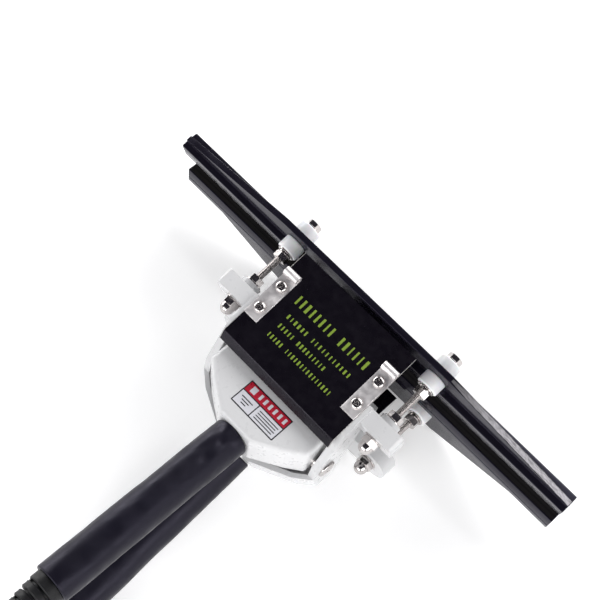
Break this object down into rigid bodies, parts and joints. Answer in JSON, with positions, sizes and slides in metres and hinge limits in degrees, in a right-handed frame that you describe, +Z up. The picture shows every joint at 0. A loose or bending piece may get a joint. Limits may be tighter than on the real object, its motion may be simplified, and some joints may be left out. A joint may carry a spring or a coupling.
{
  "type": "hand-held heat sealer",
  "caption": "Pliers-type heat sealer with long heated jaws on insulated studs, two sleeved handles and a return spring, laid open on a surface.",
  "frame": {"origin": "on the surface the sealer lies on, under the middle of its box", "axes": "X along the jaws, +Y from the handles to the jaws, +Z up; the hinge turns about X"},
  "size_m": [0.4, 0.362, 0.1313],
  "materials": {
    "casting": "off-white gloss enamel over a die casting",
    "jaw_black": "black anodised aluminium, satin",
    "non_stick": "olive brown glass cloth with a fluoropolymer coat",
    "heater_sheath": "plain steel sheath",
    "insulator": "smooth white",
    "fastener": "bright zinc plate",
    "cover_black": "black powder coat, semi gloss",
    "clip_metal": "bright plated strip",
    "tube_steel": "plain steel",
    "sleeve": "black shrink sleeve, satin with soft dents",
    "boot": "black rubber",
    "spring_steel": "oiled spring wire"
  },
  "bodies": {
    "upper_jaw_arm": {"cover": "cover_black", "cover_screws": "fastener", "left_clip": "clip_metal", "lower_end_cap": "boot", "lower_grip": "sleeve", "lower_tube": "tube_steel", "outer_arm": "casting", "pivot_bolts": "fastener", "pivot_nuts": "fastener", "pivot_spacers": "fastener", "return_spring": "spring_steel", "right_clip": "clip_metal", "upper_acorn_nuts": "fastener", "upper_heater": "heater_sheath", "upper_insulators": "insulator", "upper_jaw": "jaw_black", "upper_nuts": "fastener", "upper_seal_strip": "non_stick", "upper_spring_washers": "fastener", "upper_studs": "fastener", "upper_washers": "fastener"},
    "lower_jaw_arm": {"inner_arm": "casting", "upper_tube": "tube_steel", "upper_grip": "sleeve", "strain_relief": "boot", "lower_acorn_nuts": "fastener", "lower_cover": "cover_black", "lower_cover_screws": "fastener", "lower_heater": "heater_sheath", "lower_insulators": "insulator", "lower_jaw": "jaw_black", "lower_nuts": "fastener", "lower_seal_strip": "non_stick", "lower_spring_washers": "fastener", "lower_studs": "fastener", "lower_washers": "fastener"}
  },
  "joints": [
    {"name": "jaw_hinge", "type": "hinge", "parent": "upper_jaw_arm", "child": "lower_jaw_arm", "pos_m": [0, 0.06373, 0.06105], "axis": [1, 0, 0], "range_deg": [0, 14.3], "stiffness_Nm_per_rad": 1.5, "springref_deg": -34.38, "deforming": ["return_spring"]}
  ]
}
